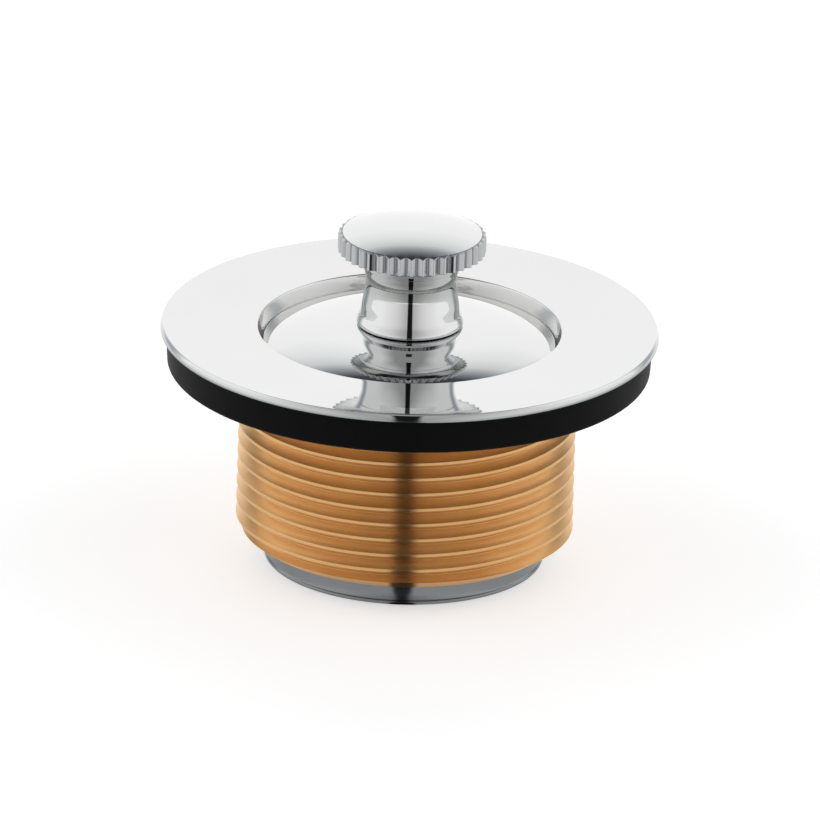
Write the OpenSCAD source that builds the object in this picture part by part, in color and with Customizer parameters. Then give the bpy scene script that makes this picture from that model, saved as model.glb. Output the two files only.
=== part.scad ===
// Lift and turn bath waste: a flanged brass body with a threaded tail, and a stopper
// that lifts and locks open on a turned guide post.
// Millimetres, +Z up. The origin is on the axis, at the lower end of the tail.

/* [Flange] */
// Outside diameter of the flange
flange_d = 70.6; // [62:0.2:90]
// Thickness of the flange at its rim
rim_t = 1.1; // [0.8:0.1:2.5]
// Fall of the flange's top face from its rim to the opening
flange_dish = 0.4; // [0.2:0.1:2]
// Diameter of the opening that the stopper drops into
opening_d = 42.7; // [34:0.1:44]
// Lean of the recess wall, as the fall of its radius from the opening's edge
recess_lean = 0.5; // [0:0.1:1]
// Depth of the recess wall, from the opening's edge to the seat
recess_depth = 4.4; // [3:0.1:8]

/* [Tail] */
// Height from the tail's lower end to the flange's top edge
body_h = 34.8; // [30:0.1:60]
// Major diameter of the tail's 1 1/2 inch pipe thread
thread_d = 47.8; // [46:0.1:52]
// Depth of the thread's form
thread_depth = 1.48; // [1:0.01:2]
// Outside diameter of the plain lip below the thread
lip_d = 39.6; // [36:0.1:42]
// Height of the plain lip
lip_h = 4.2; // [2:0.1:8]
// Thickness of the wall at the lip
lip_wall = 1.3; // [1:0.1:3]
// Radial width of the conical seat at the foot of the recess
seat_w = 1.65; // [1:0.05:3]

/* [Crossbars] */
// Number of crossbars between the hub and the wall
arm_count = 4; // [3:1:6]
// Width of a crossbar at its top
arm_w = 3.6; // [2:0.1:6]
// Height of a crossbar
arm_h = 5.4; // [3:0.1:10]
// Height of the hub's lower face above the tail's lower end
hub_z = 5.6; // [5:0.1:12]
// Outside diameter of the hub
hub_d = 13.6; // [12:0.1:20]
// Height of the hub
hub_h = 6.8; // [5:0.1:12]

/* [Gasket] */
// Outside diameter of the rubber gasket under the flange
gasket_d = 67.5; // [56:0.1:80]
// Thickness of the gasket
gasket_t = 5.3; // [2:0.1:8]

/* [Guide post] */
// Diameter of the post's stud, which screws into the hub
stud_d = 8; // [6:0.5:9]
// Outside diameter of the guide tube
tube_d = 11; // [10:0.1:12]
// Width across the flats of the post's collar
collar_af = 12; // [11:0.5:14]
// Height of the post's collar
collar_h = 2.2; // [1.5:0.1:4]
// Width across the flats of the lock nut on the stud
lock_nut_af = 13; // [11:0.5:17]
// Thickness of the lock nut
lock_nut_t = 4; // [2.5:0.1:4.2]

/* [Lift and turn movement] */
// Height that the stopper is lifted by
lift = 9; // [6:0.1:10]
// Angle that the knob turns through to lock the stopper open
turn = 90; // [60:5:100]
// Diameter of the cross pin that runs in the bayonet slots
pin_d = 2; // [1.5:0.1:2.5]
// Depth of the notch that the pin drops into when the stopper is held open
notch = 0.6; // [0:0.1:1]

/* [Stopper] */
// Thickness of the dome's edge
dome_edge_t = 1.4; // [1:0.1:3]
// Rise of the dome's crown from its edge to its centre
dome_rise = 2.7; // [1:0.1:5]
// Depth of the dome's edge below the opening's edge
dome_drop = 2; // [0.5:0.1:3]
// Height of the small boss on the dome that the knob's foot stands on
boss_h = 0.15; // [0.05:0.05:1]
// Thickness of the web in the stem that the spindle runs through
web_t = 3; // [2.6:0.1:6]
// Outside diameter of the threaded stem under the dome
stem_d = 16; // [15:0.1:20]
// Thickness of the rubber seal
seal_t = 2.9; // [2:0.1:4]
// Thickness of the brass washer under the seal
washer_t = 1.2; // [0.8:0.1:2]
// Step from the seal's lower edge in to the brass washer's edge
washer_step = 0.9; // [0.3:0.1:5]
// Width across the flats of the nut that clamps the seal
seal_nut_af = 22; // [20:0.5:27]
// Thickness of the nut that clamps the seal
seal_nut_t = 3.6; // [2.5:0.1:5]

/* [Spindle] */
// Diameter of the spindle
spindle_d = 7.9; // [6:0.1:8.5]
// Section diameter of the spindle's rubber ring
ring_section_d = 1.2; // [1:0.1:1.8]
// Thickness of the spindle's clip
clip_t = 0.7; // [0.5:0.1:1]
// Thickness of the plain washer above the clip
clip_washer_t = 0.6; // [0.4:0.1:1]
// Thickness of the washer under the knob's foot
foot_washer_t = 0.5; // [0.3:0.1:1]

/* [Knob] */
// Diameter of the knurled head, over the ridges
head_d = 21; // [16:0.5:28]
// Height of the knurled band, in the grooves
knurl_h = 2.9; // [2:0.1:6]
// Number of ridges round the head
ridge_count = 40; // [24:1:60]
// Depth of the grooves between the ridges
groove_depth = 0.6; // [0.2:0.05:1]
// Rise of the head's crown above the knurled band
crown_rise = 0.8; // [0.2:0.1:3]
// Height of the knob from its foot to the underside of the knurled band
neck_h = 10.9; // [8:0.1:18]
// Diameter of the neck at its waist
waist_d = 12.84; // [11:0.1:16]
// Diameter of the bell-shaped foot
foot_d = 15.24; // [14:0.1:20]
// Height of the bell-shaped foot, up to the waist
bell_h = 3.8; // [2:0.1:6]

/* [Clearances] */
// Radial running clearance of the spindle
running_gap = 0.05; // [0.02:0.01:0.1]
// Radial clearance of threads and of pieces slipped over a stem
slip_gap = 0.1; // [0.05:0.01:0.3]
// End float between the turning pieces and the stopper
end_float = 0.05; // [0.02:0.01:0.2]
// Gap between the dome's edge and the recess wall
dome_gap = 0.2; // [0.1:0.05:0.5]
// Gap between the closed seal and its seat
seal_gap = 0.3; // [0.1:0.05:0.5]

/* [Hidden] */
$fn = 96;
steps = 10;
overlap = 0.5;

// Body
flange_r = flange_d / 2;
opening_r = opening_d / 2;
thread_r = thread_d / 2;
root_r = thread_r - thread_depth;
lip_r = lip_d / 2;
bore_r = lip_r - lip_wall;
recess_r = opening_r - recess_lean;
chamber_r = recess_r - seat_w;
underside_z = body_h - rim_t;
foot_round = 0.12;
crease_round = 0.12;
crease_angle = 40;
rim_round = (rim_t - foot_round - crease_round) / sin(crease_angle) + crease_round;
crest_r = flange_r - rim_round + (rim_round - crease_round) * cos(crease_angle);
brow_round = 0.3;
mouth_r = opening_r + brow_round;
bead_h = 0.7;
bead_out = 0.25;
opening_z = body_h - flange_dish;
seat_top_z = opening_z - recess_depth;
seat_bottom_z = seat_top_z - seat_w;
ledge_z = hub_z + hub_h;
neck_r = root_r - 0.2;
thread_chamfer = thread_depth * 0.8;

// Gasket
gasket_r = gasket_d / 2;
gasket_z = underside_z - gasket_t;
gasket_round = 0.9;
thread_top_z = gasket_z - slip_gap;

// Crossbars and hub
hub_r = hub_d / 2;
arm_z = hub_z + (hub_h - arm_h) / 2;
arm_foot_w = arm_w * 0.7;
arm_crest = arm_w * 0.3;
hub_chamfer = 0.6;

// Guide post
stud_r = stud_d / 2;
tube_r = tube_d / 2;
spindle_r = spindle_d / 2;
guide_r = spindle_r + running_gap;
lock_nut_z = hub_z - lock_nut_t;
stud_end = 0.6;
stud_z = lock_nut_z - stud_end;
post_z = hub_z + hub_h;
tube_z = post_z + collar_h;
pin_r = pin_d / 2;
slot_w = pin_d + 2 * slip_gap;
slot_roof = 1.8;
edge_cut = 0.5;

// Stopper
dome_r = recess_r - dome_gap;
dome_edge_z = opening_z - dome_drop;
dome_under_z = dome_edge_z - dome_edge_t;
edge_round = 0.4;
foot_r = foot_d / 2;
boss_r = foot_r - 0.2;
boss_flank = 3;
boss_z = dome_edge_z + dome_rise * (1 - pow(boss_r / dome_r, 3)) + boss_h;
foot_gap = 0.1;
foot_z = boss_z + foot_gap;
spot_r = foot_r - 1;
spot_z = foot_z - end_float - foot_washer_t;
web_z = spot_z - web_t;
stem_r = stem_d / 2;
stem_bore_r = tube_r + 0.7;
seal_z = dome_under_z - seal_t;
washer_z = seal_z - washer_t;
seal_nut_z = washer_z - seal_nut_t;
stem_z = seal_nut_z - edge_cut;
ring_r = ring_section_d / 2;
ring_centre_r = guide_r + slip_gap + ring_r;
ring_z = (web_z + spot_z) / 2;
seal_edge_r = dome_r - 0.35;
seal_flank = seat_top_z - recess_r + seal_gap * sqrt(2);
seal_foot_r = seal_z - seal_flank;
washer_r = seal_foot_r - washer_step;

// Spindle and its clip
clip_washer_z = web_z - clip_washer_t;
clip_z = clip_washer_z - end_float - clip_t;
clip_r = stem_bore_r - 0.5;
groove_r = spindle_r - 0.75;
clip_clear = 0.4;
tube_top_z = clip_z - clip_clear;
pin_z = tube_top_z - slot_roof - slot_w / 2 - lift;
spindle_foot_z = pin_z - 1.3 * pin_d;
guide_floor_z = spindle_foot_z - edge_cut;

// Knob
head_r = head_d / 2;
waist_r = waist_d / 2;
waist_z = foot_z + bell_h;
collar_r = waist_r + 0.36;
flare_z = foot_z + neck_h * 0.81;
band_z = foot_z + neck_h;
band_top_z = band_z + knurl_h;
crown_z = band_top_z + crown_rise;
socket_top_z = foot_z + neck_h * 0.72;
spindle_top_z = socket_top_z - edge_cut;
core_r = head_r - groove_depth;
under_r = core_r - 0.2;
brim_r = head_r + 0.3;
throat_r = collar_r + 0.7;
throat_z = flare_z + 1;

// Points along part of a circle in the profile plane, from angle a to angle b
function arc(centre, r, a, b, n) =
    [for (i = [0:n]) let (angle = a + (b - a) * i / n) centre + r * [cos(angle), sin(angle)]];

// Points along an S-shaped curve that starts and ends parallel to the axis
function s_curve(from, to) =
    [for (i = [0:steps]) [from[0] + (to[0] - from[0]) * (1 - cos(180 * i / steps)) / 2,
                          from[1] + (to[1] - from[1]) * i / steps]];

// Height of the dome's crown at a radius, with the flank of the boss
function dome_z(r) = dome_edge_z + dome_rise * (1 - pow(r / dome_r, 3))
    + boss_h * pow(max(0, 1 - (r - boss_r) / boss_flank), 2);

// Height of the flange's dished top face at a radius
function flange_z(r) = body_h - flange_dish * pow((crest_r - r) / (crest_r - mouth_r), 2);

// Height of the knob's crown at a radius
function head_crown_z(r) = crown_z - crown_rise * pow(r / core_r, 4);

// A solid of revolution with its profile given as [radius, height] points
module turned(profile) {
    rotate_extrude() polygon(profile);
}

module ring(outer_r, inner_r, z, h) {
    turned([[inner_r, z], [outer_r, z], [outer_r, z + h], [inner_r, z + h]]);
}

module hexagon_prism(af, z, h) {
    translate([0, 0, z]) cylinder(r = af / 2 / cos(30), h = h, $fn = 6);
}

module hexagon_nut(af, z, h, hole_r) {
    corner_r = af / 2 / cos(30);
    face_r = af * 0.52;
    cut_h = af * 0.035;
    difference() {
        intersection() {
            hexagon_prism(af, z, h);
            turned([[0, z], [face_r, z], [corner_r, z + cut_h], [corner_r, z + h - cut_h],
                    [face_r, z + h], [0, z + h]]);
        }
        translate([0, 0, z - overlap]) cylinder(r = hole_r, h = h + 2 * overlap);
    }
}

// The casting's section: tail lip, thread band, flange, recess, seat and bore
module body_shell() {
    turned(concat(
        [[bore_r, 0], [lip_r - bead_out, 0], [lip_r, bead_out], [lip_r, bead_h],
         [lip_r - bead_out, bead_h + bead_out], [lip_r - bead_out, lip_h],
         [root_r, lip_h], [thread_r, lip_h + thread_chamfer], [thread_r, thread_top_z],
         [neck_r, thread_top_z], [neck_r, underside_z]],
        [[flange_r - foot_round, underside_z]],
        arc([flange_r - rim_round, underside_z + foot_round], rim_round, 0, crease_angle, 6),
        arc([crest_r, body_h - crease_round], crease_round, crease_angle + 12, 90, 4),
        [for (i = [1:steps]) let (r = crest_r + (mouth_r - crest_r) * i / steps) [r, flange_z(r)]],
        arc([mouth_r, opening_z - brow_round], brow_round, 105, 180, 5),
        [[recess_r, dome_edge_z - edge_round], [recess_r, seat_top_z], [chamber_r, seat_bottom_z],
         [chamber_r, ledge_z], [bore_r, ledge_z - abs(chamber_r - bore_r)]]));
}

module crossbar() {
    section = [[-arm_foot_w / 2, 0], [arm_foot_w / 2, 0], [arm_w / 2, arm_h - arm_crest],
               [arm_w / 2 - arm_crest, arm_h], [-arm_w / 2 + arm_crest, arm_h],
               [-arm_w / 2, arm_h - arm_crest]];
    translate([0, 0, arm_z]) rotate([90, 0, 90])
        linear_extrude(height = bore_r + overlap) polygon(section);
}

module hub() {
    turned([[0, hub_z], [hub_r - 2 * hub_chamfer, hub_z], [hub_r - hub_chamfer, hub_z + hub_chamfer],
            [hub_r, hub_z + hub_h - hub_chamfer], [hub_r - hub_chamfer, hub_z + hub_h],
            [0, hub_z + hub_h]]);
}

module waste_body() {
    color("silver") difference() {
        union() {
            body_shell();
            hub();
            for (i = [0:arm_count - 1]) rotate([0, 0, i * 360 / arm_count]) crossbar();
        }
        translate([0, 0, hub_z - overlap])
            cylinder(r = stud_r + slip_gap, h = hub_h + 2 * overlap);
    }
}

module flange_gasket() {
    color("dimgray") turned(concat(
        [[thread_r + slip_gap, gasket_z]],
        arc([gasket_r - 0.3 - gasket_round, gasket_z + gasket_round], gasket_round, -90, 0, 6),
        [[gasket_r, underside_z], [thread_r + slip_gap, underside_z]]));
}

// One bayonet slot: a turning path at the bottom, a lifting path at angle 0 and a turning
// path at the top, which ends in a notch
module bayonet_slot() {
    reach = tube_r + overlap;
    inner = guide_r / 2;
    for (level = [0, lift]) translate([0, 0, pin_z + level - slot_w / 2]) {
        rotate_extrude(angle = turn) translate([inner, 0]) square([reach - inner, slot_w]);
        rotate([0, 0, turn]) translate([inner, -slot_w / 2, 0])
            cube([reach - inner, slot_w, slot_w]);
    }
    translate([inner, -slot_w / 2, pin_z - slot_w / 2])
        cube([reach - inner, slot_w, lift + slot_w]);
    rotate([0, 0, turn]) translate([inner, -slot_w / 2, pin_z + lift - slot_w / 2 - notch])
        cube([reach - inner, slot_w, slot_w]);
}

module centre_post() {
    color("peru") difference() {
        union() {
            turned([[0, stud_z], [stud_r - edge_cut, stud_z], [stud_r, stud_z + edge_cut],
                    [stud_r, tube_z], [tube_r, tube_z], [tube_r, tube_top_z - edge_cut],
                    [tube_r - edge_cut, tube_top_z], [0, tube_top_z]]);
            hexagon_prism(collar_af, post_z, collar_h);
        }
        translate([0, 0, guide_floor_z]) cylinder(r = guide_r, h = tube_top_z);
        for (side = [0, 180]) rotate([0, 0, side]) bayonet_slot();
    }
}

module post_lock_nut() {
    color("goldenrod") hexagon_nut(lock_nut_af, lock_nut_z, lock_nut_t, stud_r + slip_gap);
}

module stopper_dome() {
    gland_r = ring_centre_r + ring_r + slip_gap;
    gland_half = ring_r + slip_gap;
    crown_r = dome_r - edge_round;
    crown = [for (i = [0:2 * steps]) let (r = crown_r - (crown_r - boss_r) * i / (2 * steps))
        [r, dome_z(r)]];
    color("gainsboro") turned(concat(
        [[stem_bore_r, stem_z], [stem_r - edge_cut, stem_z], [stem_r, stem_z + edge_cut],
         [stem_r, dome_under_z], [dome_r - 0.3, dome_under_z], [dome_r, dome_under_z + 0.3]],
        arc([crown_r, dome_z(crown_r) - edge_round], edge_round, 0, 70, 4),
        crown,
        [[spot_r, boss_z], [spot_r, spot_z], [guide_r, spot_z], [guide_r, ring_z + gland_half],
         [gland_r, ring_z + gland_half], [gland_r, ring_z - gland_half],
         [guide_r, ring_z - gland_half], [guide_r, web_z], [stem_bore_r, web_z]]));
}

module plug_seal() {
    color("dimgray") turned([[stem_r + slip_gap, seal_z], [seal_foot_r, seal_z],
        [seal_edge_r, seal_edge_r + seal_flank], [seal_edge_r, dome_under_z],
        [stem_r + slip_gap, dome_under_z]]);
}

module seal_washer() {
    color("goldenrod") ring(washer_r, stem_r + slip_gap, washer_z, washer_t);
}

module seal_nut() {
    color("peru") hexagon_nut(seal_nut_af, seal_nut_z, seal_nut_t, stem_r + slip_gap);
}

module spindle_o_ring() {
    color("black") rotate_extrude() translate([ring_centre_r, ring_z]) circle(r = ring_r, $fn = 32);
}

module clip_washer() {
    color("ivory") ring(clip_r, spindle_r + slip_gap, clip_washer_z, clip_washer_t);
}

module foot_washer() {
    color("ivory") ring(spot_r - slip_gap, spindle_r + slip_gap, spot_z, foot_washer_t);
}

module spindle() {
    color("peru") difference() {
        turned([[0, spindle_foot_z], [spindle_r - edge_cut, spindle_foot_z],
                [spindle_r, spindle_foot_z + edge_cut], [spindle_r, clip_z - running_gap],
                [groove_r, clip_z - running_gap], [groove_r, clip_z + clip_t + running_gap],
                [spindle_r, clip_z + clip_t + running_gap], [spindle_r, spindle_top_z - edge_cut],
                [spindle_r - edge_cut, spindle_top_z], [0, spindle_top_z]]);
        translate([0, 0, pin_z]) rotate([0, 90, 0])
            cylinder(r = pin_r + 0.01, h = spindle_d + 2 * overlap, center = true);
    }
}

module cross_pin() {
    color("lightsteelblue") translate([0, 0, pin_z]) rotate([0, 90, 0])
        cylinder(r = pin_r, h = 2 * tube_r - 0.2, center = true);
}

module spindle_clip() {
    color("lightsteelblue") translate([0, 0, clip_z]) rotate([0, 0, 30])
        rotate_extrude(angle = 300) translate([groove_r + running_gap, 0])
            square([clip_r - groove_r - running_gap, clip_t]);
}

// The ridged outline of the head: a zigzag between the ridge and groove radii
module ridged_outline() {
    pitch = 360 / ridge_count;
    polygon([for (i = [0:ridge_count - 1], half = [0, 1])
        (half == 0 ? head_r : core_r) * [cos(pitch * (i + half / 2)), sin(pitch * (i + half / 2))]]);
}

module knob() {
    profile = concat(
        [[0, foot_z], [foot_r - 0.15, foot_z]],
        s_curve([foot_r, foot_z + 0.15], [waist_r, waist_z]),
        [for (i = [1:6]) let (t = i / 6)
            [waist_r + (collar_r - waist_r) * t * t, waist_z + (flare_z - waist_z) * t]],
        [[throat_r, throat_z], [under_r, band_z], [brim_r, band_z]],
        [for (i = [0:8]) let (r = brim_r * (1 - i / 8)) [r, head_crown_z(r)]]);
    color("gainsboro") difference() {
        intersection() {
            turned(profile);
            union() {
                translate([0, 0, foot_z - overlap]) cylinder(r = foot_r + overlap, h = neck_h);
                translate([0, 0, flare_z]) linear_extrude(height = crown_z) ridged_outline();
            }
        }
        translate([0, 0, foot_z - overlap])
            cylinder(r = spindle_r + slip_gap, h = socket_top_z - foot_z + overlap);
    }
}

waste_body();
flange_gasket();
centre_post();
post_lock_nut();
stopper_dome();
plug_seal();
seal_washer();
seal_nut();
spindle_o_ring();
clip_washer();
foot_washer();
spindle();
cross_pin();
spindle_clip();
knob();
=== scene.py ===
from math import atan2, cos, hypot, pi, radians, sin

import bpy
from mathutils import Matrix, Vector


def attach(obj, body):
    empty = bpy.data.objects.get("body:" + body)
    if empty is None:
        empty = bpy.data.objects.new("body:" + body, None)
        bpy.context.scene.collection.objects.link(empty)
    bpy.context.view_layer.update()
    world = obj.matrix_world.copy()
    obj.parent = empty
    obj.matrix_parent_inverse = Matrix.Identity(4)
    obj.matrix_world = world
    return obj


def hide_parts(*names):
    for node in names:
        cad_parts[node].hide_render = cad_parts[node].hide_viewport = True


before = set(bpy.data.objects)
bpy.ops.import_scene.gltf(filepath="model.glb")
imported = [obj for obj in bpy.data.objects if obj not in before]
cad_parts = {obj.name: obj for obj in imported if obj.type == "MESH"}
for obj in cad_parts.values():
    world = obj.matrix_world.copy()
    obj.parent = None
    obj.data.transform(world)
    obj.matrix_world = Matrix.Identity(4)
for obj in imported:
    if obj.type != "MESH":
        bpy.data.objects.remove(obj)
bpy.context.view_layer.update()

MM = 0.001

# The bodies that the pieces ride on
FITTING = "fitting"
STOPPER = "stopper"
KNOB = "knob_and_spindle"

# Sizes of the waste body. Angles and turns are in degrees
BODY_H = 34.8
FLANGE_R = 35.3
RIM_T = 1.1
FLANGE_DISH = 0.4
FLANGE_CURVE = 1.1
OPENING_R = 21.45
RECESS_R = 20.72
RECESS_DEPTH = 4.4
SEAT_W = 1.52
THREAD_R = 23.9
THREAD_DEPTH = 1.48
THREAD_PITCH = 2.309
RUNOUT_R = 21.5
RUNOUT_H = 1.99
BARREL_R = RUNOUT_R - 0.1
LIP_R = 19.8
LIP_H = 3.45
LIP_STEP = 0.25
LIP_BEAD = 0.7
LIP_CHAMFER = 0.15
BEAD_TURN = 60
BEAD_FLANK = 0.1
BORE_R = 18.5
HUB_R = 6.8
HUB_Z = 5.6
HUB_H = 6.8
HUB_CHAMFER = 0.6
ARM_W = 3.6
ARM_H = 5.4
ARM_COUNT = 4
ARM_Z = HUB_Z + (HUB_H - ARM_H) / 2
ARM_INNER_R = HUB_R - 0.8
ARM_OUTER_R = BORE_R + 0.4
ARM_FOOT_SHARE = 0.7
ARM_ROUND = 0.9
STUD_HOLE_R = 4.1
UNDERSIDE_Z = BODY_H - RIM_T
OPENING_Z = BODY_H - FLANGE_DISH
SEAT_TOP_Z = OPENING_Z - RECESS_DEPTH
CHAMBER_R = RECESS_R - SEAT_W
LEDGE_Z = HUB_Z + HUB_H
ROOT_R = THREAD_R - THREAD_DEPTH
FOOT_ROUND = 0.12
CREASE_ROUND = 0.12
CREASE_ANGLE = 40
CREST_START = CREASE_ANGLE + 12
RIM_ROUND = (RIM_T - FOOT_ROUND - CREASE_ROUND) / sin(radians(CREASE_ANGLE)) + CREASE_ROUND
CREST_R = FLANGE_R - RIM_ROUND + (RIM_ROUND - CREASE_ROUND) * cos(radians(CREASE_ANGLE))
BROW_ROUND = 0.25
BROW_START = 100
MOUTH_R = OPENING_R + BROW_ROUND

# Sizes of the gasket
GASKET_R = 34.5
GASKET_T = 5.0
GASKET_BORE_R = THREAD_R + 0.1
GASKET_Z = UNDERSIDE_Z - GASKET_T
GASKET_ROUND = 0.5
GASKET_LEAN = 0.3

# The pipe thread's helix, and the sleeve that it is trimmed to
THREAD_HALF_ANGLE = 27.5
CREST_LAND = 0.3
CREST_ROUND = 0.12
ROOT_LAND = 0.12
ROOT_RISE = 0.05
THREAD_PHASE = 0.455
THREAD_TURNS = 14
THREAD_STEPS = 120
THREAD_SPARE = 0.2
SLEEVE_BORE_R = RUNOUT_R - 0.3
SLEEVE_R = THREAD_R + 0.5
SLEEVE_TOP_Z = GASKET_Z - 0.1

# Sizes of the stopper's dome
DOME_R = RECESS_R - 0.04
DOME_DROP = 2.0
DOME_EDGE_T = 1.4
DOME_RISE = 2.6
DOME_CURVE = 3.9
DOME_EDGE_ROUND = 0.12
DOME_EDGE_TURN = 70
DOME_UNDERCUT = 0.3
BOSS_H = 0.15
BOSS_FLANK = 3.0
WEB_T = 3.0
STEM_R = 8.0
STEM_L = 8.2
STEM_CHAMFER = 0.5
STEM_BORE_R = 6.2
SPINDLE_HOLE_R = 4.0
SPOT_DEPTH = 0.55
DOME_EDGE_Z = OPENING_Z - DOME_DROP
DOME_UNDER_Z = DOME_EDGE_Z - DOME_EDGE_T

# Sizes of the knob. Neck and throat are given as (radius, height)
FOOT_R = 7.62
FOOT_GAP = 0.1
FOOT_INSET = 0.2
NECK = [(7.33, 35.23), (7.47, 35.30), (7.555, 35.43), (7.57, 35.6), (7.50, 35.9), (7.34, 36.3),
        (7.15, 36.8), (7.00, 37.5), (6.84, 38.4), (6.67, 39.3), (6.52, 40.2), (6.46, 40.8),
        (6.44, 41.3), (6.445, 41.8), (6.465, 42.2), (6.49, 42.45), (6.54, 42.75), (6.62, 43.1),
        (6.74, 43.5), (6.90, 44.05)]
THROAT = [(6.98, 44.12), (7.07, 44.4), (7.21, 44.75), (7.45, 45.1), (7.85, 45.45), (8.5, 45.75),
          (9.25, 45.97)]
NECK_H = 10.9
HEAD_R = 10.5
KNURL_H = 2.7
CROWN_RISE = 1.4
CROWN_CURVE = 2.25
RIDGES = 40
COLUMNS = 8
GROOVE_DEPTH = 0.6
TOOTH_EDGE = 0.06
SOCKET_R = 4.05
SOCKET_SHARE = 0.72
BOSS_R = FOOT_R - FOOT_INSET
BOSS_Z = DOME_EDGE_Z + DOME_RISE * (1 - (BOSS_R / DOME_R) ** DOME_CURVE) + BOSS_H
FOOT_Z = BOSS_Z + FOOT_GAP
SPOT_R = FOOT_R - 1
SPOT_Z = FOOT_Z - SPOT_DEPTH
WEB_Z = SPOT_Z - WEB_T
STEM_Z = DOME_UNDER_Z - STEM_L
BAND_Z = FOOT_Z + NECK_H
BAND_TOP_Z = BAND_Z + KNURL_H
CROWN_Z = BAND_TOP_Z + CROWN_RISE
SOCKET_TOP_Z = FOOT_Z + NECK_H * SOCKET_SHARE
CORE_R = HEAD_R - GROOVE_DEPTH
UNDER_R = CORE_R - 0.2

# How finely the pieces are stepped, and the distance in metres under which two points are one
LATHE_STEPS = 256
HUB_STEPS = 96
ROUND_STEPS = 8
CREASE_STEPS = 5
FACE_STEPS = 24
DOME_STEPS = 32
NECK_STEPS = 6
THROAT_STEPS = 3
TOOTH_STEPS = 3
ARM_ROUND_STEPS = 4
DOUBLES = 1e-6

# Angles under which neighbouring faces are shaded as one, in degrees
TURNED_ANGLE = 30
CAST_ANGLE = 40

# Finishes. A pair of colours is clouded, stops are (place, colour), and the grain is in metres
CHROME_BRIGHT = [(0.577, 0.590, 0.585), (0.600, 0.612, 0.607)]
# The second pair is the darker chrome of painted shade, for the tail, the rim's underside and the knurl's
# grooves
CHROME_SHADED = [(0.16, 0.173, 0.183), (0.24, 0.257, 0.267)]
# Pale colour of the recess wall's satin finish, a painted reflection
PAINTED_REFLECTION_COLOUR = (0.95, 0.945, 0.92)
SATIN_SHARE = 0.6
SATIN_MARGIN = 0.02
# Painted shade on the rim, darkest at the flange's underside, by height
RIM_PAINTED_SHADE = [(0.0, (1, 1, 1)), (0.12, (0.85, 0.85, 0.85)), (0.45, (0.3, 0.3, 0.3)),
                (0.8, (0, 0, 0))]
RIM_MARGIN = 0.2
# Painted shade on the tail below this height
TAIL_SHADE_Z = LIP_H + 0.6
# Painted shade in the knurl's grooves, darkest at their bottom, by radius
KNURL_PAINTED_SHADE = [(0.944, (1.3, 1.3, 1.3)), (0.953, (0.9, 0.9, 0.9)), (0.962, (0.4, 0.4, 0.4)),
                  (0.99, (0.3, 0.3, 0.3))]
STREAK_STRENGTH = 0.6
STREAK_LEVEL = 0.18
RIDGE_SHARE = 0.995
KNURL_LOW_Z = BAND_Z + 0.02
KNURL_HIGH_Z = BAND_TOP_Z + 0.1
KNURL_INNER_SHARE = (CORE_R - 0.04) / HEAD_R
CUT_BRASS = [(0.60, 0.345, 0.135), (0.73, 0.435, 0.19)]
TURNED_BRASS_COLOURS = [(0.60, 0.38, 0.14), (0.74, 0.51, 0.22)]
RUBBER_COLOURS = [(0.0025, 0.0025, 0.0027), (0.0055, 0.0055, 0.006)]
NYLON_COLOURS = [(0.60, 0.57, 0.48), (0.70, 0.67, 0.58)]
STAINLESS_COLOURS = [(0.50, 0.50, 0.50), (0.62, 0.62, 0.61)]
GRAIN_DEPTH = 0.00003

# The tent: its brightness by height of direction, with a dark strip overhead
TENT_LIGHT = 1.36
CEILING = [(0.0, (0.97, 0.96, 0.96)), (0.46, (1.0, 0.99, 0.99)), (0.60, (0.885, 0.885, 0.885)),
           (0.69, (0.70, 0.71, 0.72)), (0.745, (0.36, 0.38, 0.40)), (0.79, (0.17, 0.18, 0.20)),
           (0.82, (0.06, 0.064, 0.07)), (0.90, (0.03, 0.032, 0.035))]
CEILING_HALF_WIDTH = 0.42
CEILING_SIDES = 1.1
CEILING_FRONT = 0.9

# The dark slit in the tent's front, the shade beside it, and the grey gaps in the back wall.
# Stops of slit and shade go by the sideways share of the direction
SLIT = [(0.08, (1, 1, 1)), (0.115, (0, 0, 0))]
SLIT_TOP = 0.8
SLIT_BLACK = (0.01, 0.01, 0.01)
HALO = [(0.0, (0.42, 0.43, 0.44)), (0.10, (0.48, 0.49, 0.50)), (0.26, (0.58, 0.59, 0.60)),
        (0.41, (0.71, 0.71, 0.71)), (0.56, (0.79, 0.79, 0.79)), (0.69, (0.86, 0.86, 0.86)),
        (0.81, (0.91, 0.91, 0.91)), (0.95, (1, 1, 1))]
HALO_SPREAD = 0.5
HALO_SIDE = [(0.0, (0, 0, 0)), (0.4, (1, 1, 1))]
WALL_GAPS = [(0.10, (0, 0, 0)), (0.20, (1, 1, 1)), (0.26, (1, 1, 1)), (0.40, (0, 0, 0))]
WALL_GAPS_SCALE = 0.25
WALL_TOP = 0.75
GAP_GREY = (0.42, 0.45, 0.48)
LEAST_BEHIND = 0.001

# The floor, in metres, and its tones
FLOOR_SIZE = 0.5
FLOOR_Z = -0.0001
FLOOR_LIFT = 0.48
FLOOR_PALE = (0.85, 0.85, 0.85)
FLOOR_SLIT = (0.02, 0.02, 0.02)
FLOOR_ROUGHNESS = 0.7
BLACK = (0, 0, 0)
WHITE = (1, 1, 1)

# The photograph: a long lens, 21.4 degrees above level, with a slight roll. Distance and reach are
# in metres
IMAGE_PX = 820
AXIS_PX = (409.8, 325.0)
AXIS_POINT_Z = 34.8
PX_PER_MM = 7.07
CAMERA_ELEVATION = radians(21.4)
CAMERA_ROLL = radians(1.63)
CAMERA_DISTANCE = 4.0
CAMERA_REACH = 20
SENSOR = 36.0


def deselect():
    """Leaves nothing selected and nothing in edit mode."""
    if bpy.context.object and bpy.context.object.mode != "OBJECT":
        bpy.ops.object.mode_set(mode="OBJECT")
    bpy.ops.object.select_all(action="DESELECT")


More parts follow.
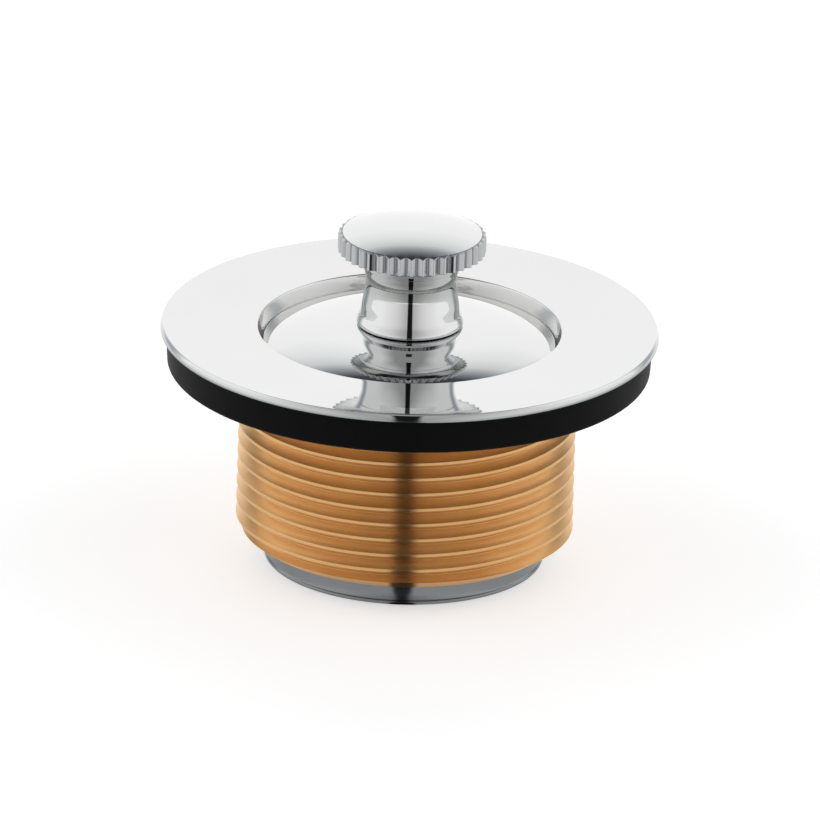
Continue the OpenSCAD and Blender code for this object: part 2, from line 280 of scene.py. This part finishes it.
def take(piece):
    """Makes one piece the only selected and the active object."""
    deselect()
    piece.select_set(True)
    bpy.context.view_layer.objects.active = piece


def spread(start, end, count):
    """Evenly spaced values, both ends included."""
    return [start + (end - start) * i / count for i in range(count + 1)]


def arc(centre, r, start, end, count):
    """Points along part of a circle in the profile plane, angles in degrees."""
    points = []
    for i in range(count + 1):
        angle = radians(start + (end - start) * i / count)
        points.append((centre[0] + r * cos(angle), centre[1] + r * sin(angle)))
    return points


def smooth_curve(points, count):
    """Points along a smooth curve through the given ones, with count steps between each two."""
    padded = [points[0]] + points + [points[-1]]
    curve = []
    for before, start, end, after in zip(padded, padded[1:], padded[2:], padded[3:]):
        for t in spread(0, 1, count)[:-1]:
            curve.append(tuple(((2 * b) + (c - a) * t + (2 * a - 5 * b + 4 * c - d) * t ** 2
                                + (3 * b - a - 3 * c + d) * t ** 3) / 2
                               for a, b, c, d in zip(before, start, end, after)))
    return curve + [points[-1]]


def draw_profile(name, points):
    """Starts a piece as a chain of edges, drawn point by point, and stays in edit mode."""
    deselect()
    bpy.ops.mesh.primitive_plane_add(size=MM, location=(0, 0, 0))
    piece = bpy.context.object
    piece.name = name
    bpy.ops.object.mode_set(mode="EDIT")
    bpy.ops.mesh.select_all(action="SELECT")
    bpy.ops.mesh.merge(type="CENTER")
    last = Vector((0, 0, 0))
    for i, (r, z) in enumerate(points):
        place = Vector((r * MM, 0, z * MM))
        if i == 0:
            bpy.ops.transform.translate(value=place - last)
        else:
            bpy.ops.mesh.extrude_region_move(TRANSFORM_OT_translate={"value": place - last})
        last = place
    return piece


def turn_on_lathe(name, points, segments=LATHE_STEPS):
    """Turns a closed profile of (radius, height) points about the axis."""
    piece = draw_profile(name, points + points[:1])
    bpy.ops.mesh.select_all(action="SELECT")
    bpy.ops.mesh.spin(steps=segments, angle=2 * pi, center=(0, 0, 0), axis=(0, 0, 1))
    bpy.ops.mesh.select_all(action="SELECT")
    bpy.ops.mesh.remove_doubles(threshold=DOUBLES)
    bpy.ops.mesh.normals_make_consistent(inside=False)
    bpy.ops.object.mode_set(mode="OBJECT")
    bpy.ops.object.shade_smooth_by_angle(angle=radians(TURNED_ANGLE))
    return piece


def apply_modifiers(piece):
    """Applies every modifier on a piece, so that its mesh is final."""
    take(piece)
    for modifier in list(piece.modifiers):
        bpy.ops.object.modifier_apply(modifier=modifier.name)


def keep_inside(piece, envelope):
    """Keeps what a piece shares with a solid, and removes the solid."""
    modifier = piece.modifiers.new("trim", "BOOLEAN")
    modifier.operation = "INTERSECT"
    modifier.solver = "EXACT"
    modifier.object = envelope
    apply_modifiers(piece)
    bpy.data.objects.remove(envelope, do_unlink=True)


def finish(piece, look, body, node):
    """Gives a piece its material, the body it moves with and the CAD node it stands for."""
    piece.data.materials.clear()
    piece.data.materials.append(look)
    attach(piece, body)
    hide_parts(node)


class Sock:
    """A node socket or a number that can be used in Python expressions."""

    def __init__(self, tree, value):
        self.tree = tree
        self.value = value

    def math(self, operation, *others):
        """Adds a Math node that works on this socket and the others."""
        values = [self.value] + [o.value if isinstance(o, Sock) else o for o in others]
        return self.tree.node("ShaderNodeMath", {"operation": operation}, dict(enumerate(values)))

    def __add__(self, other):
        return self.math("ADD", other)

    __radd__ = __add__

    def __sub__(self, other):
        return self.math("SUBTRACT", other)

    def __rsub__(self, other):
        return Sock(self.tree, other).math("SUBTRACT", self)

    def __mul__(self, other):
        return self.math("MULTIPLY", other)

    __rmul__ = __mul__

    def __truediv__(self, other):
        return self.math("DIVIDE", other)

    def __gt__(self, other):
        return self.math("GREATER_THAN", other)

    def __lt__(self, other):
        return self.math("LESS_THAN", other)


class Tree:
    """The node tree of a material or of the world."""

    def __init__(self, owner):
        owner.use_nodes = True
        self.nodes = owner.node_tree.nodes
        self.links = owner.node_tree.links
        self.nodes.clear()

    def node(self, kind, settings=None, inputs=None, output=0):
        """Adds a node with its settings, then the values and links of its sockets."""
        made = self.nodes.new(kind)
        for key, value in (settings or {}).items():
            if key == "stops":
                for i, (place, colour) in enumerate(value):
                    stop = made.color_ramp.elements[i] if i < 2 else made.color_ramp.elements.new(place)
                    stop.position = place
                    stop.color = (*colour, 1)
            else:
                setattr(made, key, value)
        for key, value in (inputs or {}).items():
            value = value.value if isinstance(value, Sock) else value
            if isinstance(value, bpy.types.NodeSocket):
                self.links.new(value, made.inputs[key])
            else:
                made.inputs[key].default_value = value
        return Sock(self, made.outputs[output] if made.outputs else None)

    def axes(self, space):
        """The x, y and z of a place or direction in the named space."""
        vector = self.node("ShaderNodeTexCoord", output=space)
        split = self.node("ShaderNodeSeparateXYZ", None, {"Vector": vector})
        return [Sock(self, socket) for socket in split.value.node.outputs]

    def noise(self, scale, detail=4.0, roughness=0.5, stretch=(1, 1, 1)):
        """Cloudy noise over the piece, stretched by axis."""
        place = self.node("ShaderNodeTexCoord", output="Object")
        vector = self.node("ShaderNodeMapping", None, {"Vector": place, "Scale": stretch})
        return self.node("ShaderNodeTexNoise", None,
                         {"Vector": vector, "Scale": scale, "Detail": detail, "Roughness": roughness})

    def ramp(self, factor, stops):
        """A colour that changes with the factor, from stop to stop."""
        return self.node("ShaderNodeValToRGB", {"stops": stops}, {"Fac": factor})

    def mix(self, factor, a, b):
        """Mixes two colours. Sockets 6 and 7 and output 2 are the node's colour ones."""
        colours = [c if isinstance(c, Sock) else (*c, 1) for c in (a, b)]
        inputs = {0: factor, 6: colours[0], 7: colours[1]}
        return self.node("ShaderNodeMix", {"data_type": "RGBA"}, inputs, output=2)

    def grain(self, height, strength):
        """A fine relief on the surface."""
        return self.node("ShaderNodeBump", None,
                         {"Height": height, "Strength": strength, "Distance": GRAIN_DEPTH})

    def surface(self, inputs):
        """Ends the tree in a surface with the given values and links."""
        shader = self.node("ShaderNodeBsdfPrincipled", None, inputs)
        self.node("ShaderNodeOutputMaterial", None, {"Surface": shader})


def material(name):
    """A new material and its node tree."""
    made = bpy.data.materials.new(name)
    return made, Tree(made)


def plating(name, painted_shade, satin=None):
    """Bright plating that turns darker and rougher by a given share of painted shade, or satin with a pale
    painted reflection by a given share of the place.
    """
    made, tree = material(name)
    cloud = tree.noise(60.0, detail=3.0)
    place = tree.axes("Object")
    # The share of painted shade: it darkens the colour towards the shaded chrome and roughens the surface
    share = painted_shade(tree, *place)
    colour = tree.mix(share, tree.mix(cloud, *CHROME_BRIGHT), tree.mix(cloud, *CHROME_SHADED))
    metal = 1.0
    if satin:
        # Pale painted reflection on the satin part of the wall
        pale = satin(*place)
        colour = tree.mix(pale, colour, PAINTED_REFLECTION_COLOUR)
        metal = 1.0 - pale * SATIN_SHARE
    tree.surface({
        "Base Color": colour,
        "Metallic": metal,
        "Roughness": 0.015 + cloud * 0.02 + share * 0.12})
    return made


def recess_satin_painted_reflection(x, y, z):
    """The wall of the recess above the dome's edge is satin, less metallic, and its pale colour is a
    painted reflection in place of a mirror's.
    """
    square = x * x + y * y
    outside_dome = square > ((RECESS_R - SATIN_MARGIN) * MM) ** 2
    inside_opening = square < ((OPENING_R + SATIN_MARGIN) * MM) ** 2
    return outside_dome * inside_opening * (z > LEDGE_Z * MM)


def body_painted_shade(tree, x, y, z):
    """Painted shade: the chrome is darker and rougher on the tail below the thread and towards the
    flange's underside.
    """
    rim_shade = tree.ramp((z - UNDERSIDE_Z * MM) * (1 / (RIM_T * MM)), RIM_PAINTED_SHADE)
    on_rim = x * x + y * y > ((CREST_R - RIM_MARGIN) * MM) ** 2
    return (z < TAIL_SHADE_Z * MM) + rim_shade * on_rim


def groove_painted_shade(tree, x, y, z):
    """Painted shade: the knurl's grooves are darker towards the bottom, and their flanks vary a little at
    random.
    """
    r = (x * x + y * y).math("SQRT") * (1 / (HEAD_R * MM))
    streaks = tree.noise(1500.0, detail=2.0, stretch=(1, 1, 0)) * STREAK_STRENGTH - STREAK_LEVEL
    in_band = (z > KNURL_LOW_Z * MM) * (r > KNURL_INNER_SHARE)
    depth = tree.ramp(r, KNURL_PAINTED_SHADE)
    return (depth + streaks * (r < RIDGE_SHARE)) * in_band * (z < KNURL_HIGH_Z * MM)


def thread_brass():
    """Bare cut brass, with fine turning lines round the axis."""
    made, tree = material("thread_brass")
    cloud = tree.noise(150.0)
    lines = tree.noise(9000.0, detail=2.0, roughness=0.6, stretch=(0.02, 0.02, 1))
    tree.surface({
        "Base Color": tree.mix(cloud, *CUT_BRASS),
        "Metallic": 1.0,
        "Roughness": 0.28 + cloud * 0.06,
        "Anisotropic": 0.92,
        "Anisotropic Rotation": 0.25,
        "Normal": tree.grain(lines, 0.3)})
    return made


def turned_brass():
    """Brass as it comes off the lathe, for the pieces inside."""
    made, tree = material("turned_brass")
    cloud = tree.noise(220.0)
    tree.surface({
        "Base Color": tree.mix(cloud, *TURNED_BRASS_COLOURS),
        "Metallic": 1.0,
        "Roughness": 0.20 + cloud * 0.14})
    return made


def black_rubber():
    """Moulded rubber with a fine grain."""
    made, tree = material("black_rubber")
    cloud = tree.noise(140.0, detail=5.0, roughness=0.6)
    grain = tree.noise(3200.0, detail=2.0)
    tree.surface({
        "Base Color": tree.mix(cloud, *RUBBER_COLOURS),
        "Specular IOR Level": 0.04,
        "Roughness": 0.40 + cloud * 0.2,
        "Normal": tree.grain(grain, 0.2)})
    return made


def nylon():
    """Natural nylon, for the thin washers."""
    made, tree = material("natural_nylon")
    cloud = tree.noise(260.0, detail=3.0)
    tree.surface({
        "Base Color": tree.mix(cloud, *NYLON_COLOURS),
        "Roughness": 0.45 + cloud * 0.1})
    return made


def stainless():
    """Bright stainless steel, for the pin and the clip."""
    made, tree = material("bright_stainless")
    cloud = tree.noise(400.0, detail=3.0)
    tree.surface({
        "Base Color": tree.mix(cloud, *STAINLESS_COLOURS),
        "Metallic": 1.0,
        "Roughness": 0.2 + cloud * 0.12})
    return made


# The body's chrome carries painted shade on the tail and rim, and a painted reflection on the recess wall
BODY_CHROME = plating("body_chrome", body_painted_shade, recess_satin_painted_reflection)
# The knob's chrome carries painted shade in the knurl's grooves
KNOB_CHROME = plating("knob_chrome", groove_painted_shade)
THREAD_BRASS = thread_brass()
TURNED_BRASS = turned_brass()
RUBBER = black_rubber()
NYLON = nylon()
STAINLESS = stainless()

# The looks of the CAD nodes that stay as they are
KEPT_NODES = {
    "centre_post": TURNED_BRASS,
    "post_lock_nut": TURNED_BRASS,
    "seal_washer": TURNED_BRASS,
    "seal_nut": TURNED_BRASS,
    "spindle": TURNED_BRASS,
    "plug_seal": RUBBER,
    "spindle_o_ring": RUBBER,
    "clip_washer": NYLON,
    "foot_washer": NYLON,
    "cross_pin": STAINLESS,
    "spindle_clip": STAINLESS,
}


def flange_height(r):
    """Height of the flange's dished top face at a radius."""
    return BODY_H - FLANGE_DISH * ((CREST_R - r) / (CREST_R - MOUTH_R)) ** FLANGE_CURVE


def plated_shell():
    """Flange, recess, seat, bore and lip, turned in one piece. The thread's sleeve is round its barrel."""
    half_bead = LIP_BEAD / 2
    waist_r = LIP_R - LIP_STEP
    rim_centre = (FLANGE_R - RIM_ROUND, UNDERSIDE_Z + FOOT_ROUND)
    outline = [(BORE_R, LIP_CHAMFER), (BORE_R + LIP_CHAMFER, 0), (waist_r, 0)]
    outline += arc((LIP_R - half_bead, half_bead), half_bead, -BEAD_TURN, BEAD_TURN, ROUND_STEPS)
    outline += [(waist_r, LIP_BEAD + BEAD_FLANK), (waist_r, LIP_H), (BARREL_R, LIP_H),
                (BARREL_R, UNDERSIDE_Z), (FLANGE_R - FOOT_ROUND, UNDERSIDE_Z)]
    outline += arc(rim_centre, RIM_ROUND, 0, CREASE_ANGLE, ROUND_STEPS)
    outline += arc((CREST_R, BODY_H - CREASE_ROUND), CREASE_ROUND, CREST_START, 90, CREASE_STEPS)
    outline += [(r, flange_height(r)) for r in spread(CREST_R, MOUTH_R, FACE_STEPS)[1:]]
    outline += arc((MOUTH_R, OPENING_Z - BROW_ROUND), BROW_ROUND, BROW_START, 180, ROUND_STEPS)
    outline += [(RECESS_R, DOME_EDGE_Z - DOME_EDGE_ROUND), (RECESS_R, SEAT_TOP_Z),
                (CHAMBER_R, SEAT_TOP_Z - SEAT_W), (CHAMBER_R, LEDGE_Z),
                (BORE_R, LEDGE_Z - (CHAMBER_R - BORE_R))]
    piece = turn_on_lathe("plated_shell", outline)
    finish(piece, BODY_CHROME, FITTING, "waste_body")


def thread_section():
    """One pitch of the pipe thread's section, from root to root, with its crest at height 0."""
    steep = 90 - THREAD_HALF_ANGLE
    crest = arc((THREAD_R - CREST_ROUND, -CREST_LAND / 2), CREST_ROUND, -steep, 0, TOOTH_STEPS)
    crest += arc((THREAD_R - CREST_ROUND, CREST_LAND / 2), CREST_ROUND, 0, steep, TOOTH_STEPS)
    root_z = THREAD_PITCH / 2
    flank_z = root_z - ROOT_LAND
    lower_root = [(ROOT_R, -root_z), (ROOT_R + ROOT_RISE, -flank_z)]
    upper_root = [(ROOT_R + ROOT_RISE, flank_z), (ROOT_R, root_z)]
    return lower_root + crest + upper_root


def thread_sleeve():
    """The helical thread: one pitch swept round the axis, then trimmed to the sleeve's envelope."""
    first_crest = THREAD_PHASE + THREAD_PITCH
    piece = draw_profile("thread", [(r, z + first_crest) for r, z in thread_section()])
    bpy.ops.object.mode_set(mode="OBJECT")
    sweep = piece.modifiers.new("sweep", "SCREW")
    sweep.screw_offset = THREAD_PITCH * MM
    sweep.iterations = THREAD_TURNS
    sweep.steps = THREAD_STEPS
    sweep.render_steps = THREAD_STEPS
    sweep.use_smooth_shade = False
    apply_modifiers(piece)
    bpy.ops.object.mode_set(mode="EDIT")
    bpy.ops.mesh.select_all(action="SELECT")
    bpy.ops.mesh.remove_doubles(threshold=DOUBLES)
    low = (0, 0, (LIP_H - THREAD_SPARE) * MM)
    high = (0, 0, (UNDERSIDE_Z - THREAD_SPARE) * MM)
    bpy.ops.mesh.select_all(action="SELECT")
    bpy.ops.mesh.bisect(plane_co=low, plane_no=(0, 0, 1), use_fill=True, clear_inner=True)
    bpy.ops.mesh.select_all(action="SELECT")
    bpy.ops.mesh.bisect(plane_co=high, plane_no=(0, 0, 1), use_fill=True, clear_outer=True)
    bpy.ops.mesh.select_all(action="SELECT")
    bpy.ops.mesh.normals_make_consistent(inside=False)
    bpy.ops.object.mode_set(mode="OBJECT")
    outline = [(SLEEVE_BORE_R, LIP_H), (RUNOUT_R, LIP_H), (SLEEVE_R, LIP_H + RUNOUT_H),
               (SLEEVE_R, SLEEVE_TOP_Z), (SLEEVE_BORE_R, SLEEVE_TOP_Z)]
    keep_inside(piece, turn_on_lathe("envelope", outline))
    take(piece)
    bpy.ops.object.shade_smooth_by_angle(angle=radians(CAST_ANGLE))
    finish(piece, THREAD_BRASS, FITTING, "waste_body")


def hub():
    """The boss that the centre post screws into."""
    flank_r = HUB_R - HUB_CHAMFER
    top_z = HUB_Z + HUB_H
    outline = [(STUD_HOLE_R, HUB_Z), (HUB_R - 2 * HUB_CHAMFER, HUB_Z), (flank_r, HUB_Z + HUB_CHAMFER),
               (HUB_R, top_z - HUB_CHAMFER), (flank_r, top_z), (STUD_HOLE_R, top_z)]
    piece = turn_on_lathe("hub", outline, HUB_STEPS)
    finish(piece, BODY_CHROME, FITTING, "waste_body")


def crossbars():
    """One bar with a narrower foot and rounded edges, then its copies round the hub."""
    middle = ((ARM_INNER_R + ARM_OUTER_R) / 2 * MM, 0, (ARM_Z + ARM_H / 2) * MM)
    deselect()
    bpy.ops.mesh.primitive_cube_add(size=1, location=middle)
    bar = bpy.context.object
    bar.name = "crossbar_0"
    bpy.ops.object.mode_set(mode="EDIT")
    bpy.ops.transform.resize(value=((ARM_OUTER_R - ARM_INNER_R) * MM, ARM_W * MM, ARM_H * MM))
    bpy.ops.object.mode_set(mode="OBJECT")
    bpy.ops.object.transform_apply(location=True, rotation=False, scale=False)
    for v in bar.data.vertices:
        v.select = v.co.z < middle[2]
    for e in bar.data.edges:
        e.select = all(bar.data.vertices[i].select for i in e.vertices)
    for f in bar.data.polygons:
        f.select = all(bar.data.vertices[i].select for i in f.vertices)
    bpy.ops.object.mode_set(mode="EDIT")
    bpy.ops.transform.resize(value=(1, ARM_FOOT_SHARE, 1), center_override=(0, 0, 0))
    bpy.ops.object.mode_set(mode="OBJECT")
    for e in bar.data.edges:
        a, b = (bar.data.vertices[i].co for i in e.vertices)
        e.select = abs(a.y - b.y) < DOUBLES and abs(a.z - b.z) < DOUBLES
    bpy.ops.object.mode_set(mode="EDIT")
    bpy.ops.mesh.bevel(offset=ARM_ROUND * MM, segments=ARM_ROUND_STEPS, affect="EDGES")
    bpy.ops.object.mode_set(mode="OBJECT")
    bpy.ops.object.shade_smooth_by_angle(angle=radians(CAST_ANGLE))
    for i in range(1, ARM_COUNT):
        take(bar)
        bpy.ops.object.duplicate(linked=False)
        copy = bpy.context.object
        copy.name = f"crossbar_{i}"
        bpy.ops.object.mode_set(mode="EDIT")
        bpy.ops.mesh.select_all(action="SELECT")
        bpy.ops.transform.rotate(value=2 * pi * i / ARM_COUNT, orient_axis="Z", center_override=(0, 0, 0))
        bpy.ops.object.mode_set(mode="OBJECT")
        finish(copy, BODY_CHROME, FITTING, "waste_body")
    finish(bar, BODY_CHROME, FITTING, "waste_body")


def gasket():
    """The rubber ring under the flange, with a rounded lower edge."""
    lower_edge = (GASKET_R - GASKET_LEAN - GASKET_ROUND, GASKET_Z + GASKET_ROUND)
    outline = [(GASKET_BORE_R, GASKET_Z)] + arc(lower_edge, GASKET_ROUND, -90, 0, ROUND_STEPS)
    outline += [(GASKET_R, UNDERSIDE_Z), (GASKET_BORE_R, UNDERSIDE_Z)]
    piece = turn_on_lathe("gasket", outline)
    finish(piece, RUBBER, FITTING, "flange_gasket")


def dome_height(r):
    """Height of the dome's crown at a radius, with the flank of the boss."""
    boss = max(0, 1 - (r - BOSS_R) / BOSS_FLANK) ** 2
    return DOME_EDGE_Z + DOME_RISE * (1 - (r / DOME_R) ** DOME_CURVE) + BOSS_H * boss


def dome():
    """The stopper's plated dome with the stem and the web under it."""
    crown_r = DOME_R - DOME_EDGE_ROUND
    edge_centre = (crown_r, dome_height(crown_r) - DOME_EDGE_ROUND)
    outline = [(STEM_BORE_R, STEM_Z), (STEM_R - STEM_CHAMFER, STEM_Z), (STEM_R, STEM_Z + STEM_CHAMFER),
               (STEM_R, DOME_UNDER_Z), (DOME_R - DOME_UNDERCUT, DOME_UNDER_Z),
               (DOME_R, DOME_UNDER_Z + DOME_UNDERCUT)]
    outline += arc(edge_centre, DOME_EDGE_ROUND, 0, DOME_EDGE_TURN, ROUND_STEPS)
    outline += [(r, dome_height(r)) for r in spread(crown_r, BOSS_R, DOME_STEPS)]
    outline += [(SPOT_R, BOSS_Z), (SPOT_R, SPOT_Z), (SPINDLE_HOLE_R, SPOT_Z), (SPINDLE_HOLE_R, WEB_Z),
                (STEM_BORE_R, WEB_Z)]
    piece = turn_on_lathe("dome", outline)
    finish(piece, BODY_CHROME, STOPPER, "stopper_dome")


def head_crown_height(r):
    """Height of the knob's crown at a radius."""
    return CROWN_Z - CROWN_RISE * (r / CORE_R) ** CROWN_CURVE


def knob():
    """Bell foot, waisted neck and knurled head. The grooves are cut into the turned head."""
    brim_z = head_crown_height(HEAD_R)
    crown_radii = [HEAD_R - TOOTH_EDGE] + spread(UNDER_R, 0, FACE_STEPS)
    outline = [(SOCKET_R, FOOT_Z), (BOSS_R - FOOT_INSET, FOOT_Z)]
    outline += smooth_curve(NECK, NECK_STEPS) + smooth_curve(THROAT, THROAT_STEPS)
    outline += [(UNDER_R, BAND_Z), (HEAD_R - TOOTH_EDGE, BAND_Z), (HEAD_R, BAND_Z + TOOTH_EDGE),
                (HEAD_R, brim_z - TOOTH_EDGE)]
    outline += [(r, head_crown_height(r)) for r in crown_radii]
    outline += [(0, SOCKET_TOP_Z), (SOCKET_R, SOCKET_TOP_Z)]
    piece = turn_on_lathe("knob", outline, RIDGES * COLUMNS)
    cut_knurl(piece)
    finish(piece, KNOB_CHROME, KNOB, "knob")


def cut_knurl(piece):
    """Pulls every groove's columns towards the axis, at the teeth's lower edge and at the brim.

    The brim's points also climb, so that the grooves run out on the crown's slope."""
    take(piece)
    rise = head_crown_height(CORE_R) - head_crown_height(HEAD_R)
    tooth_r = (UNDER_R + 0.05) * MM
    under_z = BAND_Z - 0.01
    middle_z = BAND_Z + 1
    over_z = BAND_TOP_Z + 1
    for column in range(1, COLUMNS):
        depth = 1 - abs(2 * column / COLUMNS - 1)
        inward = 1 - GROOVE_DEPTH * depth / HEAD_R
        for low, high, climb in ((under_z, middle_z, 0), (middle_z, over_z, rise * depth)):
            bpy.ops.object.mode_set(mode="EDIT")
            bpy.ops.mesh.select_all(action="DESELECT")
            bpy.ops.object.mode_set(mode="OBJECT")
            for v in piece.data.vertices:
                turn = round(atan2(v.co.y, v.co.x) / (2 * pi) * RIDGES * COLUMNS) % COLUMNS
                on_tooth = hypot(v.co.x, v.co.y) > tooth_r and low < v.co.z / MM < high
                v.select = on_tooth and turn == column
            bpy.ops.object.mode_set(mode="EDIT")
            bpy.ops.transform.resize(value=(inward, inward, 1), center_override=(0, 0, 0))
            bpy.ops.transform.translate(value=(0, 0, climb * MM))
    bpy.ops.object.mode_set(mode="OBJECT")


def pale_floor():
    """A pale floor. Metal sees the tent's dark slit run on across it."""
    deselect()
    bpy.ops.mesh.primitive_plane_add(size=FLOOR_SIZE, location=(0, 0, FLOOR_Z))
    floor = bpy.context.object
    floor.name = "floor"
    made, tree = material("pale_floor")
    camera_ray, glossy_ray, transmission_ray = [
        tree.node("ShaderNodeLightPath", output=kind)
        for kind in ("Is Camera Ray", "Is Glossy Ray", "Is Transmission Ray")]
    x, y = tree.axes("Object")[:2]
    aside = x.math("ABSOLUTE") / (x * x + y * y).math("SQRT")
    mirrored_slit = tree.ramp(aside, SLIT) * (y < 0) * glossy_ray
    seen = (camera_ray + glossy_ray + transmission_ray) * (1 - mirrored_slit)
    tree.surface({
        "Base Color": tree.mix(mirrored_slit, FLOOR_PALE, FLOOR_SLIT),
        "Roughness": FLOOR_ROUGHNESS,
        "Emission Color": tree.mix(seen, BLACK, WHITE),
        "Emission Strength": FLOOR_LIFT})
    floor.data.materials.append(made)


def tent():
    """A white tent, dark overhead, softly shaded in front round the slit, with grey gaps behind.

    The camera itself sees plain white."""
    world = bpy.data.worlds.new("studio")
    bpy.context.scene.world = world
    sky = Tree(world)
    x, y, z = sky.axes("Generated")
    across = x.math("ABSOLUTE")
    beside = (across - CEILING_HALF_WIDTH).math("MAXIMUM", 0)
    in_front = (y * -1).math("MAXIMUM", 0)
    behind = y.math("MAXIMUM", LEAST_BEHIND)
    shell = sky.ramp(z - beside * CEILING_SIDES - in_front * CEILING_FRONT, CEILING)
    slit = sky.ramp(across, SLIT) * (y < 0) * (z < SLIT_TOP)
    gaps = sky.ramp(across / behind * WALL_GAPS_SCALE, WALL_GAPS) * (y > 0) * (z < WALL_TOP)
    halo = sky.ramp(across - z.math("MAXIMUM", 0) * HALO_SPREAD, HALO)
    walls = sky.mix(gaps, shell, GAP_GREY)
    shaded = sky.mix(halo, BLACK, walls)
    walls = sky.mix(sky.ramp(in_front, HALO_SIDE), walls, shaded)
    walls = sky.mix(slit, walls, SLIT_BLACK)
    plain_white = [1 / TENT_LIGHT] * 3
    walls = sky.mix(sky.node("ShaderNodeLightPath", output="Is Camera Ray"), walls, plain_white)
    light = sky.node("ShaderNodeBackground", None, {"Color": walls, "Strength": TENT_LIGHT})
    sky.node("ShaderNodeOutputWorld", None, {"Surface": light})


def camera():
    """The photograph's view: the axis at the flange's height falls on its own pixel."""
    data = bpy.data.cameras.new("camera")
    eye = bpy.data.objects.new("camera", data)
    bpy.context.scene.collection.objects.link(eye)
    right = Vector((1, 0, 0))
    up = Vector((0, sin(CAMERA_ELEVATION), cos(CAMERA_ELEVATION)))
    back = Vector((0, -cos(CAMERA_ELEVATION), sin(CAMERA_ELEVATION)))
    turned_right = right * cos(CAMERA_ROLL) + up * sin(CAMERA_ROLL)
    turned_up = up * cos(CAMERA_ROLL) - right * sin(CAMERA_ROLL)
    across = (IMAGE_PX / 2 - AXIS_PX[0]) / PX_PER_MM * MM
    below = (IMAGE_PX / 2 - AXIS_PX[1]) / PX_PER_MM * MM
    place = Vector((0, 0, AXIS_POINT_Z * MM)) + back * CAMERA_DISTANCE
    place = place + turned_right * across - turned_up * below
    facing = Matrix((turned_right, turned_up, back)).transposed().to_4x4()
    eye.matrix_world = Matrix.Translation(place) @ facing
    data.sensor_width = SENSOR
    data.lens = PX_PER_MM * CAMERA_DISTANCE / MM * SENSOR / IMAGE_PX
    data.clip_end = CAMERA_REACH
    bpy.context.scene.camera = eye


plated_shell()
thread_sleeve()
hub()
crossbars()
gasket()
dome()
knob()

for name, look in KEPT_NODES.items():
    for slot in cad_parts[name].material_slots:
        slot.material = look

pale_floor()
tent()
camera()
bpy.context.scene.view_settings.view_transform = "Standard"
